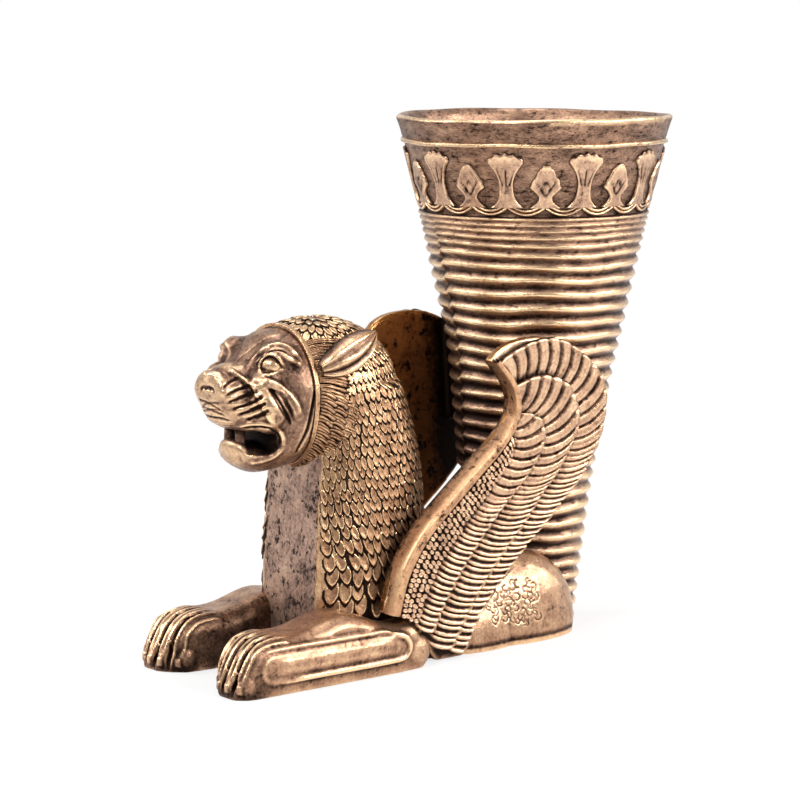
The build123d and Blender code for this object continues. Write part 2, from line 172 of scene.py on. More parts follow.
# %% [markdown]
# ## Antique gold
# The finish is gold paint rubbed over dark brown: hollows keep the brown, worn crests shine. Every carved
# piece stores a number at each point, called relief, that is 0 deep in a hollow and 1 on a crest. On some
# pieces the relief is also lowered as painted shade where shade falls, and raised a little as painted light.
# The material turns that number, broken up by noise, into brown, dull gold or bright gold.


# %% The finish
def tint(colour):
    """A colour given as it looks on screen, 0 to 255, turned into linear light."""
    return tuple(((c / 255 + 0.055) / 1.055) ** 2.4 if c > 10 else c / 3295 for c in colour)


def antique_gold(name, gold, bright, dark=(32, 17, 10), specks=0.3, flecks=0.3, grain=90.0, rough=0.22,
                 stretch=(1, 1, 1)):
    """Rubbed gold over brown; fine specks and larger flecks break up the edge of the brown."""
    gold, bright, dark = tint(gold), tint(bright), tint(dark)
    look = bpy.data.materials.new(name)
    add, join, fuse, span = nodes_of(look)
    spread = add("Mapping", Scale=stretch)
    join(add("TexCoord").outputs["Object"], spread.inputs["Vector"])

    def noise(scale, detail, harsh):
        node = add("TexNoise", Scale=grain * scale, Detail=detail, Roughness=harsh)
        join(spread.outputs[0], node.inputs["Vector"])
        return node.outputs["Fac"]

    relief = add("Attribute", attribute_name="relief").outputs["Fac"]
    mottle = fuse("ADD", noise(10, 5.0, 0.65), noise(1.4, 4.0, 0.6))
    swing = fuse("MULTIPLY_ADD", mottle, 2 * specks, -2 * specks)
    stain = span(noise(3.4, 7.0, 0.72), 0.54, 0.64, 0.0, -flecks)
    wear_and_painted_shading = fuse("ADD", relief, fuse("ADD", swing, stain))
    tone = add("ValToRGB")
    ramp = tone.color_ramp.elements
    ramp[0].position, ramp[0].color = 0.12, (*dark, 1)
    ramp[1].position, ramp[1].color = 0.92, (*bright, 1)
    ramp.new(0.3).color = (*[0.32 * g + 0.68 * d for g, d in zip(gold, dark)], 1)
    ramp.new(0.48).color = (*gold, 1)
    join(wear_and_painted_shading, tone.inputs["Fac"])
    bump = add("Bump", Strength=0.3, Distance=0.0006)
    join(mottle, bump.inputs["Height"])
    skin = add("BsdfPrincipled", Metallic=0.9)
    join(tone.outputs["Color"], skin.inputs["Base Color"])
    join(span(wear_and_painted_shading, 0.1, 0.9, rough + 0.28, rough - 0.05), skin.inputs["Roughness"])
    join(bump.outputs[0], skin.inputs["Normal"])
    join(skin.outputs[0], add("OutputMaterial").inputs["Surface"])
    return look


finishes = {
    "horn_gold": dict(gold=(152, 118, 97), bright=(246, 210, 164), flecks=0.28, stretch=(1, 1, 2.5)),
    "border_gold": dict(gold=(170, 135, 112), bright=(244, 206, 164), flecks=0.2),
    "mane_gold": dict(gold=(162, 121, 90), bright=(250, 212, 164), flecks=0.16),
    "face_gold": dict(gold=(132, 100, 82), bright=(242, 203, 160), specks=0.25, flecks=0.18, rough=0.27),
    "leg_gold": dict(gold=(160, 122, 97), bright=(250, 211, 166), specks=0.25, flecks=0.18),
    "wing_gold": dict(gold=(176, 137, 110), bright=(248, 212, 172), flecks=0.18),
    "edge_gold": dict(gold=(186, 141, 106), bright=(236, 194, 148), flecks=0.3, rough=0.32),
    # A darker copy of the gold, used as painted shade on the neck and body plugs and the wings' inward faces.
    "under_brown": dict(gold=(140, 93, 54), bright=(188, 138, 88), dark=(26, 15, 8), flecks=0.5, grain=50),
    "chest_mauve": dict(gold=(156, 127, 112), bright=(214, 180, 152), dark=(46, 34, 30), specks=0.45,
                        flecks=0.62, grain=100, rough=0.36, stretch=(1, 1, 0.8)),
}
looks = {name: antique_gold(name, **values) for name, values in finishes.items()}
print("finishes:", sorted(looks))

# %% [markdown]
# ## Setting a piece in the frame
# A finished bmesh becomes an object at the origin, in metres. Relief is measured from the form itself when
# it isn't given: each point is compared with the average of its neighbours, so hollows come out low.


# %% Helpers for points
def points_of(bm):
    return np.array([v.co[:] for v in bm.verts])


def normals_of(bm):
    bm.normal_update()
    return np.array([v.normal[:] for v in bm.verts])


def put_points(bm, points):
    for v, p in zip(bm.verts, points):
        v.co = p


def lay(bm, points, parts=1):
    """Moves the points of a bmesh and turns each of its equal parts outward."""
    put_points(bm, points)
    bm.normal_update()
    middle = Vector(np.mean(points, axis=0) * (0, 1, 1))
    faces = bm.faces[:]
    size = len(faces) // parts
    for part in [faces[k:k + size] for k in range(0, len(faces), size)]:
        if sum(f.normal.dot(f.calc_center_median() - middle) * f.calc_area() for f in part) < 0:
            bmesh.ops.reverse_faces(bm, faces=part)


def grow(values, start, end):
    """0 at start, 1 at end, straight between them and level beyond."""
    return np.clip((values - start) / (end - start), 0, 1)


# %% Helpers for lines
def lengths(line):
    """How far along a line each of its points lies."""
    return np.r_[0, np.cumsum(np.linalg.norm(np.diff(line, axis=0), axis=1))]


def along(where, steps, line):
    """Places on a line whose points lie at the given steps."""
    return np.stack([np.interp(where, steps, column) for column in line.T], -1)


def smooth_line(points, count):
    """Evenly spaced points on a smooth line through the given ones."""
    given = np.array(points, float)
    ends = np.vstack([2 * given[0] - given[1], given, 2 * given[-1] - given[-2]])
    share = np.linspace(0, 1, 16, endpoint=False)[:, None]
    runs = []
    for a, b, c, d in zip(ends[:-3], ends[1:-2], ends[2:-1], ends[3:]):
        runs.append(0.5 * (2 * b + (c - a) * share + (2 * a - 5 * b + 4 * c - d) * share ** 2
                           + (3 * b - a - 3 * c + d) * share ** 3))
    line = np.vstack(runs + [given[-1:]])
    steps = lengths(line)
    return along(np.linspace(0, steps[-1], count), steps, line)


# %% Helpers for finished pieces
def neighbour_mean(bm, values, rounds):
    """Values averaged over the neighbours of each point, several times."""
    bm.verts.index_update()
    ends = np.array([(e.verts[0].index, e.verts[1].index) for e in bm.edges])
    count = np.bincount(ends.ravel(), minlength=len(values)) + 1.0
    for _ in range(rounds):
        total = values.copy()
        for axis in range(values.shape[1]):
            total[:, axis] += np.bincount(ends[:, 0], values[ends[:, 1], axis], len(values))
            total[:, axis] += np.bincount(ends[:, 1], values[ends[:, 0], axis], len(values))
        values = total / count[:, None]
    return values


def form_relief(bm, rounds=6, gain=1.6):
    """Relief of a form: 0.5 on plain surface, lower in hollows, higher on crests."""
    points = points_of(bm)
    bulge = ((points - neighbour_mean(bm, points, rounds)) * normals_of(bm)).sum(1)
    return np.clip(0.5 + gain * bulge, 0, 1)


def settle(name, bm, slot, nodes=(), relief=None, look=None):
    """Makes the object, stores its relief, gives it its finish and lets it ride on the body."""
    if relief is None:
        relief = form_relief(bm)
    bm.transform(Matrix.Scale(0.001, 4))
    mesh = bpy.data.meshes.new(name)
    bm.to_mesh(mesh)
    faces = sum(len(f.verts) - 2 for f in bm.faces)
    bm.free()
    mesh.shade_smooth()
    mesh.attributes.new("relief", "FLOAT", "POINT").data.foreach_set("value", relief.astype(np.float32))
    for finish in look or [slot]:
        mesh.materials.append(looks[finish])
    piece = bpy.data.objects.new(name, mesh)
    scene.collection.objects.link(piece)
    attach(piece, "root")
    if nodes:
        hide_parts(*nodes)
    print(name, "triangles", faces)


# %% [markdown]
# ## The ribbed horn
# The horn is a turned shape, so its wall is one profile spun about the axis. The ribs are half rounds,
# fine under the border and broad below. A mould seam runs down the side towards the lion, where the ribs
# don't quite meet. Low down, between the wings, the front of the wall bends towards the lion.

# %% Profile of the horn, spun
axis_y = 57.0
foot_radius = 16.2
border_foot, border_tall = 163.0, 26.6
border_radius, border_flare = 43.6, 6.8


def horn_radius(z):
    """Mean radius of the ribbed wall at a height."""
    share = z / border_foot
    swell = 0.66 * share + 0.34 * share * share
    return foot_radius + (border_radius - foot_radius) * swell + 2.7 * max(share - 0.6, 0)


rib_edges = [border_foot]
for pitch in [2.1, 2.2, 2.4, 2.8, 3.4, 4.2, 5.0, 5.4] + [5.646] * 24:
    rib_edges.append(rib_edges[-1] - pitch)
rib_edges = rib_edges[::-1]
rib_edges[0] = 0.0
profile = [(0.0, 0.0), (12.0, 0.0)]
for low, high in zip(rib_edges[:-1], rib_edges[1:]):
    depth = min(1.75, 0.34 * (high - low))
    for share in (0.0, 0.14, 0.26, 0.36, 0.46, 0.56, 0.66, 0.78, 0.9):
        z = low + share * (high - low)
        swell = math.exp(-(abs(share - 0.5) / 0.3) ** 2.4)
        profile.append((horn_radius(z) - 0.6 * depth + depth * swell, z))
profile += [
    (43.2, 163.2), (43.9, 165), (44.9, 169), (46.0, 173), (47.0, 177), (48.2, 181), (50.0, 188.2),
    (50.5, 189.2), (50.7, 190.6), (51.2, 192), (51.9, 194.6), (52.7, 197), (53.3, 198.6), (53.2, 199.4),
    (52.4, 200.0), (51.2, 199.9), (50.2, 199.2), (49.4, 197), (48.0, 192), (46.2, 185), (43.8, 176),
    (39.6, 163), (36.8, 150), (33.4, 132), (29.6, 113), (25.6, 92), (21.4, 68), (17.4, 42), (14.8, 24),
    (13.0, 20.6), (9.0, 18.4), (0.0, 17.2),
]


def spun(bm, outline, steps):
    """Spins an outline round the horn's axis and closes it."""
    bmesh.ops.spin(bm, geom=outline, cent=(0, axis_y, 0), axis=(0, 0, 1), angle=math.tau, steps=steps,
                   use_merge=True)
    bmesh.ops.remove_doubles(bm, verts=bm.verts, dist=1e-4)
    bmesh.ops.recalc_face_normals(bm, faces=bm.faces)


bm = bmesh.new()
wall = [bm.verts.new((r, axis_y, z)) for r, z in profile]
spun(bm, wall + [bm.edges.new(pair) for pair in zip(wall[:-1], wall[1:])], 180)

# %% Seam, uneven lip and bent front of the horn
seam = math.radians(-101)
points = points_of(bm)
height = points[:, 2]
turns = (np.arctan2(points[:, 1] - axis_y, points[:, 0]) - seam) % math.tau
radius = np.hypot(points[:, 0], points[:, 1] - axis_y)
outside = radius > np.array([horn_radius(z) for z in height]) - 2.3
fade = outside * grow(height, 4, 16) * grow(height, 162, 150)
from_seam = (turns / math.tau + 0.5) % 1 - 0.5
jog = 0.45 * np.sign(from_seam) * np.exp(-np.abs(from_seam) / 0.05)
height += fade * (jog + 0.35 * np.sin(3 * turns + height * 0.13) + 0.2 * np.sin(7 * turns))
height -= grow(height, 189, 199) * (0.35 + 0.35 * np.sin(2 * turns + 1) + 0.12 * np.sin(9 * turns))
front = 0.5 - 0.5 * (points[:, 1] - axis_y) / np.maximum(radius, 1)
points[:, 1] -= outside * front * np.interp(height, [0, 25, 60, 113], [0, 2.5, 6.5, 0])
lay(bm, points)
# The front of the wall low down between the wings gets painted shade, the back a little painted light.
relief = form_relief(bm, 10, 0.75) - 0.3 * np.clip(2 * front - 1, -0.5, 1) * grow(height, 110, 80)
ground = np.where(height < 188, np.interp(height, [164, 172, 180, 188], [0.3, 0.34, 0.42, 0.46]), 0.4)
relief = np.where((height > 162.9) & (radius > 42.8), ground, relief)
relief = np.where((height > 198.4) & (radius > 51.2), 0.8, relief)
# The inside wall has a flat tone, painted lighter near the lip where light falls in and darker below as
# shade.
relief = np.where(~outside & (height > 10), np.where(height > 180, 0.44, 0.36), relief)
settle("ribbed_horn", bm, "horn_gold", ["cup_shell"], relief)

# %% [markdown]
# ## Border of flowers, buds and hanging loops
# The border is a frieze: raised, flat-topped flowers and buds on a sunk dark ground, joined by looped
# cords. Each motif is a small grid that is bent to its outline and laid on the cone of the band, with its
# edge sunk into the ground and its veins pressed in.


# %% Motifs laid on the cone
def on_band(around, up, lift):
    """A point of the border: angle round the horn, height, and distance out of the ground."""
    radius = border_radius + border_flare * (up - border_foot) / border_tall + lift
    return np.stack([radius * np.cos(around), axis_y + radius * np.sin(around), up], -1)


def leaf_grid(across, upward):
    """A flat grid with sides 2 wide and 1 tall, its foot at 0."""
    bm = bmesh.new()
    bmesh.ops.create_grid(bm, x_segments=across, y_segments=upward, size=1.0)
    bmesh.ops.translate(bm, verts=bm.verts, vec=(0, 1, 0))
    bmesh.ops.scale(bm, verts=bm.verts, vec=(1, 0.5, 1))
    return bm


def repeated(tile, count):
    """One bmesh with the tile copied count times, and the tile's own points."""
    points = points_of(tile)
    mesh = bpy.data.meshes.new("tile")
    tile.to_mesh(mesh)
    tile.free()
    bm = bmesh.new()
    for _ in range(count):
        bm.from_mesh(mesh)
    bpy.data.meshes.remove(mesh)
    return bm, points


motif_count, motif_foot, motif_radius = 10, 166.6, 47


def motif_row(name, nodes, width_at, tall, tips, veins, first):
    """Motifs of one kind round the band."""
    bm, flat = repeated(leaf_grid(18, 24), motif_count)
    u, v = flat[:, 0], flat[:, 1]
    side = np.interp(v, *zip(*width_at)) * u
    up = motif_foot + v * tall + tips(u) * grow(v, 0.7, 1)
    edge = np.minimum((1 - np.abs(u)) * 9, (1 - v) * 24)
    vein = veins(side, v * tall)
    lift = -0.25 + 1.35 * np.clip(np.minimum(edge, 1) * 1.3, 0, 1) ** 0.6 - 0.45 * vein
    angles = [math.radians(first + 360 / motif_count * k) for k in range(motif_count)]
    lay(bm, np.vstack([on_band(angle + side / motif_radius, up, lift) for angle in angles]))
    inside = np.minimum((1 - np.abs(u)) * 9, (1 - v) * 12)
    relief = np.interp(inside, [0, 1, 2.2, 3.2], [0, 0.85, 0.6, 0.52]) - 0.4 * vein
    settle(name, bm, "border_gold", nodes, np.tile(relief, motif_count))


def thin(distance, half):
    """1 on a thin line, 0 away from it."""
    return np.clip(1 - np.abs(distance) / half, 0, 1)


def flower_veins(a, b):
    bars = [thin(a - slope * (b - 5), 0.42) for slope in (-0.75, -0.36, 0, 0.36, 0.75)]
    return np.max(bars, axis=0) * (b > 8.5) * (b < 14)


def bud_veins(a, b):
    oval = thin(np.hypot(a / 1.15, (b - 7.2) / 2.4) - 1, 0.35)
    sides = thin(np.abs(a) - 0.55 * (b - 3.5), 0.4) * (b > 5) * (b < 10)
    return np.maximum(oval, sides)


flower_widths = [(0, 7.0), (0.05, 5.2), (0.12, 3.9), (0.22, 3.0), (0.36, 2.7), (0.5, 2.9), (0.62, 3.9),
                 (0.74, 5.6), (0.83, 6.8), (0.9, 6.9), (1, 5.2)]
bud_widths = [(0, 6.6), (0.06, 4.6), (0.14, 3.0), (0.24, 2.5), (0.34, 4.0), (0.45, 6.4), (0.53, 5.6),
              (0.6, 5.6), (0.7, 4.1), (0.83, 3.3), (0.91, 1.9), (1, 0.9)]
motif_row("lotus_flowers", ["lotus_sprigs"], flower_widths, 20.8,
          lambda u: 0.55 * np.cos(u * 12) - 1.6 * u * u, flower_veins, -90)
motif_row("lotus_buds", ["bud_sprigs"], bud_widths, 16.6, lambda u: -0.3 * u * u, bud_veins, -72)

# %% Hanging loops and the bead
loop_count = 2 * motif_count
bm, flat = repeated(leaf_grid(14, 16), loop_count)
u, v = flat[:, 0], flat[:, 1]
swing = 5.3 * u / 44.5 * 1.28
up = 164.6 + 3.0 * u * u + (v - 0.5) * (1.9 + 0.8 * u * u) * 1.5
ridge = np.abs(np.sin(np.pi * 2 * v)) ** 0.7
angles = [math.radians(-81 + 360 / loop_count * k) for k in range(loop_count)]
lay(bm, np.vstack([on_band(angle + swing, up, 1.25 * ridge - 0.2) for angle in angles]))
settle("hanging_loops", bm, "border_gold", ["festoon_cords"], np.tile(0.1 + 0.75 * ridge, loop_count))

bm = bmesh.new()
ring = bmesh.ops.create_circle(bm, segments=12, radius=0.95)["verts"]
bmesh.ops.rotate(bm, verts=ring, cent=(0, 0, 0), matrix=Matrix.Rotation(math.pi / 2, 3, "X"))
bmesh.ops.translate(bm, verts=ring, vec=(50.7, axis_y, 189.8))
spun(bm, ring + bm.edges[:], 160)
points = points_of(bm)
angle = np.arctan2(points[:, 1] - axis_y, points[:, 0])
points[:, 2] += 0.18 * np.sin(5 * angle) + 0.1 * np.sin(13 * angle + 1)
lay(bm, points)
settle("lip_bead_ring", bm, "horn_gold", ["lip_bead"], np.full(len(points), 0.72))

# %% [markdown]
# ## Clay forms
# The lion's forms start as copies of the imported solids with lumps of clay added. One even skin is drawn
# over them with the Remesh modifier, as wet clay is smoothed with a sponge, and lines are then raised or
# pressed into it with soft strokes.


# %% Helpers for clay
def cad_copy(*names):
    """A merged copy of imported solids, in millimetres."""
    bm = bmesh.new()
    for name in names:
        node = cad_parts[name]
        before = len(bm.verts)
        bm.from_mesh(node.data)
        bmesh.ops.transform(bm, matrix=node.matrix_world, verts=bm.verts[before:])
    bmesh.ops.remove_doubles(bm, verts=bm.verts, dist=1e-6)
    bm.transform(Matrix.Scale(1000, 4))
    return bm


def lump(bm, centre, sizes, turn=(0, 0, 0), twin=False):
    """An egg of clay, and its twin on the lion's other side."""
    for side in ((1, -1) if twin else (1,)):
        tilt = Euler([math.radians(angle) for angle in (turn[0], side * turn[1], side * turn[2])])
        place = Matrix.LocRotScale(Vector((side * centre[0], centre[1], centre[2])), tilt, Vector(sizes))
        bmesh.ops.create_icosphere(bm, subdivisions=3, radius=1, matrix=place)


def ease(bm, rounds, verts=None):
    """Smooths a skin, or some of its points, a number of times."""
    for _ in range(rounds):
        bmesh.ops.smooth_vert(bm, verts=verts or bm.verts, factor=0.5, use_axis_x=True, use_axis_y=True,
                              use_axis_z=True)


def skin_over(bm, voxel, rounds):
    """One even skin over overlapping closed forms, eased a few times."""
    mesh = bpy.data.meshes.new("clay")
    bm.to_mesh(mesh)
    bm.free()
    block = bpy.data.objects.new("clay", mesh)
    scene.collection.objects.link(block)
    wrap = block.modifiers.new("skin", "REMESH")
    wrap.mode = "VOXEL"
    wrap.voxel_size = voxel
    bpy.context.view_layer.update()
    skin = bpy.data.meshes.new_from_object(block.evaluated_get(bpy.context.evaluated_depsgraph_get()))
    made = bmesh.new()
    made.from_mesh(skin)
    bpy.data.objects.remove(block)
    bpy.data.meshes.remove(mesh)
    bpy.data.meshes.remove(skin)
    ease(made, rounds)
    bmesh.ops.recalc_face_normals(made, faces=made.faces)
    return made


def draw_lines(bm, strokes, twin=1.0):
    """Raises or sinks lines; a stroke is a line of points, its half width, its height and its soft edge.
    The same strokes go on the lion's other side with a share of their height."""
    points, outward = points_of(bm), normals_of(bm)
    rise, sink = np.zeros(len(points)), np.zeros(len(points))
    for line, half, height, soft in strokes:
        count = int(max(6, lengths(np.array(line, float))[-1] / (0.3 * half)))
        path = smooth_line(line, count)
        from_end = np.minimum(np.arange(count), np.arange(count)[::-1])
        taper = np.clip(from_end / (0.12 * count) + 0.25, 0, 1)
        for side, part in ((1, 1.0), (-1, twin)):
            here = path * (side, 1, 1)
            near = np.where(((points > here.min(0) - half) & (points < here.max(0) + half)).all(1))[0]
            gap = np.linalg.norm(points[near, None] - here[None], axis=2)
            share = np.clip((half - gap.min(1)) / soft, 0, 1)
            lift = part * height * taper[gap.argmin(1)] * share * share * (3 - 2 * share)
            rise[near] = np.maximum(rise[near], lift)
            sink[near] = np.minimum(sink[near], lift)
    put_points(bm, points + outward * (rise + sink)[:, None])


def sheltered(bm, reach):
    """The share of the sky over each point that the piece itself hides, within a short reach."""
    tree = BVHTree.FromBMesh(bm)
    golden, count = math.pi * (3 - math.sqrt(5)), 24
    ways = []
    for k in range(count):
        up = 1 - (2 * k + 1) / count
        flat = math.sqrt(1 - up * up)
        ways.append(Vector((flat * math.cos(golden * k), flat * math.sin(golden * k), up)))
    bm.normal_update()
    shade_share = []
    for v in bm.verts:
        start = v.co + v.normal * 0.15
        open_ways = [way for way in ways if way.dot(v.normal) > 0.25]
        hits = sum(tree.ray_cast(start, way, reach)[0] is not None for way in open_ways)
        shade_share.append(hits / max(len(open_ways), 1))
    return np.array(shade_share)


def seen_from_camera(bm):
    """A way to turn a place in the photograph into the point of the skin that shows there."""
    tree = BVHTree.FromBMesh(bm)
    start, middle = camera_place * 1000, photo_size / 2

    def touch(px, py):
        aim = ahead + aside * ((px - middle) / focal) - above * ((py - middle) / focal)
        return tree.ray_cast(start, aim.normalized())[0]

    return touch


# %% [markdown]
# ## Neck and mane
# The neck is a hollow column with a flat chest in front and the hood of the mane above. Its scales are
# tongues with a raised rim, large at the foot and small on the crown. One tongue is made, copied into
# rows, and pressed on the skin of the neck.

# %% Neck skin with its bare chest
bm = skin_over(cad_copy("neck_shell"), 0.8, 3)
draw_lines(bm, [([(17.2, -59, 22), (17.0, -59.5, 50), (16.0, -60.5, 80)], 2.6, 1.0, 1.8)])
neck_tree = BVHTree.FromBMesh(bm)
points = points_of(bm)
x, y, z = points.T
chest = (y < -55) & (np.abs(x) < 16) & (z < 82)
edge = (y < -54) & (np.abs(x) < 20) & (z < 80)
streak = np.sin(x * 2.3 + 1.5 * np.sin(z * 0.21)) + np.sin(x * 5.1 + z * 0.4)
y += np.where(chest, 0.03 * streak, 0)
put_points(bm, points)
bm.verts.index_update()
for face in bm.faces:
    face.material_index = int(all(chest[v.index] for v in face.verts))
# The neck skin round the chest lies under the tongues and is painted dark as the shade between them.
relief = np.where(chest, 0.5 + 0.02 * streak, np.where(edge, 0.62, 0.08))
settle("mane_neck", bm, "mane_gold", ["neck_shell"], relief, look=["mane_gold", "chest_mauve"])

# %% Scales of the mane
face_wide, face_tall, face_middle = 24, 26.5, 101.5
crown, crown_turn = 100, 27


def scale_tile(segments):
    """A tongue drawn on a disc: a dark gap, a raised rim and a flat middle, ring by ring."""
    bm = bmesh.new()
    bmesh.ops.create_circle(bm, cap_ends=True, segments=segments, radius=1.0)
    for width in (0.22, 0.12, 0.15):
        middle = [f for f in bm.faces if len(f.verts) == segments]
        bmesh.ops.inset_individual(bm, faces=middle, thickness=width)
    return bm


def by_ring(tile, gap, outer, rim, middle):
    """A value for each ring of the tongue's points, from the outside in."""
    return np.interp(np.hypot(tile[:, 0], tile[:, 1]), [0.5, 0.65, 0.77, 1.0], [middle, rim, outer, gap])


def neck_point(around, up):
    """The point of the mane and its outward way, at an angle round the neck and a height along it."""
    lean = min(max((up - crown) / crown_turn, 0), 1.5)
    middle = Vector((0, -36 - 15 * min(max((up - 40) / 62, 0), 1), min(up, crown)))
    flat = math.cos(lean)
    aim = Vector((math.cos(around) * flat, math.sin(around) * flat, math.sin(lean)))
    hit, normal, _, _ = neck_tree.ray_cast(middle + aim * 60, -aim)
    return (hit, normal) if hit else (middle + aim * 20, aim)


chance = np.random.default_rng(7)
rows = []
up, shift = 24.0, 0
while up < 141:
    wide = 5.4 - 3.1 * min((up - 22) / 45, 1) ** 0.7
    long = 2.2 * wide + 2.4
    ring = 24.5 * math.cos(min(max((up - crown) / crown_turn, 0), 1.42))
    count = max(7, int(math.tau * ring / wide))
    for k in range(count):
        sway = chance.uniform(-0.16, 0.16, 4)
        around = math.tau * (k + 0.5 * (shift % 2) + sway[0]) / count
        spot, _ = neck_point(around, up)
        bare = spot.y < -56 and abs(spot.x) < 17.7 - 0.02 * up and spot.z < 80
        from_face = math.hypot(spot.x / face_wide, (spot.z - face_middle) / face_tall)
        locks = spot.y < -55 and spot.z < 118 and from_face < (1.12 if spot.z > 86 else 1.02)
        if not bare and not locks and spot.y > -64.5:
            rows.append((around, up + sway[1] * 4.5, wide, long * (1 + sway[2]), ring, 2 * sway[3]))
    up += long * (0.54 - 0.03 * (wide - 2.3))
    shift += 1
bm, tile = repeated(scale_tile(10), len(rows))
crest = by_ring(tile, -0.35, -0.25, 1.0, 0.5)
# The gap ring is patina in the recess, deepened into a painted shadow line at each tongue's edge; tongues on
# the crown are made lighter.
shade = by_ring(tile, -0.35, -0.15, 0.9, 0.44)
placed, shades = [], []
for around, up, wide, long, ring, tilt in rows:
    shades.append(shade + 0.16 * grow(up, 100, 115))
    for (a, b, _), h in zip(tile, crest):
        aside_by = a * (1 - 0.6 * max(-b, 0) ** 1.8) + tilt * b
        spot, normal = neck_point(around + aside_by * wide * 0.66 / max(ring, 5), up + b * long * 0.5)
        placed.append(spot + normal * (0.55 * h * min(wide / 3.4, 1) + 0.3 - 0.15 * b * (wide + 1)))
lay(bm, placed)
settle("mane_tongues", bm, "mane_gold", ["mane_scales"], np.hstack(shades))

# %% Locks behind the face cord: angle, first and last reach, half width, tier
locks = [(52 - 2.8 * k, 0.6, 19 - 0.45 * k, 0.028, 0.8) for k in range(16)]
for first, last, tier in ((11.5, 18.5, 0.0), (6.0, 13.2, 0.5), (0.6, 7.8, 1.0)):
    locks += [(8 - 5.4 * k + 2.7 * (tier == 0.5), first, last, 0.054, tier) for k in range(17)]
bm, tile = repeated(leaf_grid(6, 6), 2 * len(locks))
u, v = tile[:, 0], tile[:, 1]
ridge = np.interp(np.abs(u), [0, 0.34, 0.67, 1], [0.3, 1.0, 0.85, -0.5])
ridge = np.where(v > 0.99, -0.7, ridge)
placed = []
for start, first, last, half, tier in locks:
    sway = chance.uniform(-0.6, 0.6, 2)
    for a, b, h in zip(u, v, ridge):
        reach = first + (last - first + sway[0]) * b * (1 - 0.22 * a * a)
        angle = math.radians(start + sway[1]) + a * half * (1 - 0.3 * b) - 0.13 * (b * b + first / 7)
        near = (face_wide * math.cos(angle), -66 + reach, face_middle + face_tall * math.sin(angle))
        spot, normal, _, _ = neck_tree.find_nearest(Vector(near))
        placed.append(spot + normal * (0.15 + 0.6 * tier + 0.6 * b + 0.5 * h))
placed = np.array(placed)
lay(bm, np.vstack([placed, placed * (-1, 1, 1)]), 2 * len(locks))
relief = np.tile(np.clip(0.62 * ridge - 0.06, 0, 1), 2 * len(locks))
settle("mane_locks", bm, "mane_gold", (), relief)

# %% [markdown]
# ## Head
# The head is a roaring lion's mask. Its strokes are drawn through the camera: places read on an
# enlargement of the picture are carried to the skin of the head and mirrored to the far side.


# %% Head skin
def rounded(points, centre, radii, amount):
    """Pulls points in towards an egg, by an amount for each, so that corners turn round."""
    out = points - np.array(centre)
    far = np.linalg.norm(out / np.array(radii), axis=1)
    return points + out * (amount * (1 / np.maximum(far, 1) - 1))[:, None]


bm = cad_copy("head_shell", "lower_jaw")
lump(bm, (12.4, -75.2, 117.8), (7.2, 7.0, 4.4), (0, 14, 25), twin=True)
lump(bm, (11.2, -74.3, 113.0), (7.6, 7.6, 5.6), (0, 12, 25), twin=True)
lump(bm, (10.5, -76.8, 114.8), (6.4, 6.8, 5.0), (0, 0, 25), twin=True)
lump(bm, (0, -75.5, 113.2), (12.0, 9.6, 6.6))
lump(bm, (0, -84.0, 109.0), (8.5, 11.0, 5.5), (-14, 0, 0))
lump(bm, (0, -92.0, 106.0), (8.5, 5.5, 5.5))
lump(bm, (0, -91.5, 99.5), (11.0, 6.5, 8.5))
lump(bm, (8.5, -87.0, 96.5), (6.5, 8.0, 6.5), (0, 0, 25), twin=True)
lump(bm, (13.0, -79.5, 99.0), (7.0, 11.0, 9.5), (0, 0, 20), twin=True)
lump(bm, (12.0, -79.0, 108.5), (6.0, 9.5, 6.0), (0, 0, 20), twin=True)
lump(bm, (0, -81.5, 80.0), (12.0, 8.0, 5.5))
lump(bm, (0, -86.8, 83.0), (8.0, 3.4, 4.6))
bm = skin_over(bm, 0.42, 14)
points = points_of(bm)
muzzle = grow(points[:, 1], -84, -92) * grow(points[:, 2], 105, 99) * (points[:, 2] > 88.5)
points = rounded(points, (0, -80, 102), (15.5, 17.6, 13.2), 0.85 * muzzle)
jaw = grow(points[:, 1], -78, -84) * (points[:, 2] < 88)
points = rounded(points, (0, -76, 84), (16.0, 13.6, 10.0), 0.8 * jaw)
put_points(bm, points)
ease(bm, 10)
touch = seen_from_camera(bm)

# %% Folds of the face: half width, height, soft edge, places on the enlargement
crop_left, crop_top, crop_zoom = 190, 305, 7


def face_point(x, y):
    """A place on the sevenfold enlargement of the face, carried to the skin."""
    return touch(crop_left + x / crop_zoom, crop_top + y / crop_zoom)


def face_strokes(rows):
    strokes = []
    for half, height, soft, *spots in rows:
        found = [face_point(x, y) for x, y in smooth_line(spots, 8 * len(spots))]
        strokes.append(([tuple(p) for p in found if p is not None], half, height, soft))
    return strokes


draw_lines(bm, face_strokes([(4.4, -0.5, 4.0, (505, 470), (560, 440), (640, 435))]))
touch = seen_from_camera(bm)
folds = [
    (1.5, 0.9, 1.3, (405, 440), (450, 380), (520, 308), (600, 276), (680, 294), (740, 345), (785, 415)),
    (1.5, 1.0, 1.3, (655, 350), (705, 380), (750, 408), (785, 428)),
    (0.95, 0.9, 0.8, (488, 482), (496, 410), (535, 350), (600, 358), (662, 432)),
    (0.9, 0.8, 0.8, (495, 496), (560, 488), (658, 446)),
    (1.5, 1.2, 1.2, (270, 452), (340, 500), (420, 550), (480, 585)),
    (3.3, 1.4, 1.2, (462, 556), (504, 623), (560, 721), (602, 790), (634, 832)),
    (2.3, 1.3, 1.1, (500, 545), (570, 556), (658, 612), (722, 690), (762, 780)),
    (1.2, 1.0, 1.0, (330, 852), (420, 832), (520, 832), (600, 858), (648, 915), (655, 975)),
    (1.3, 0.8, 1.1, (640, 1010), (590, 1060), (500, 1095), (420, 1105)),
    (2.2, 0.6, 2.0, (100, 520), (150, 480), (220, 480)),
]
draw_lines(bm, face_strokes(folds), 0.7)
ease(bm, 3)

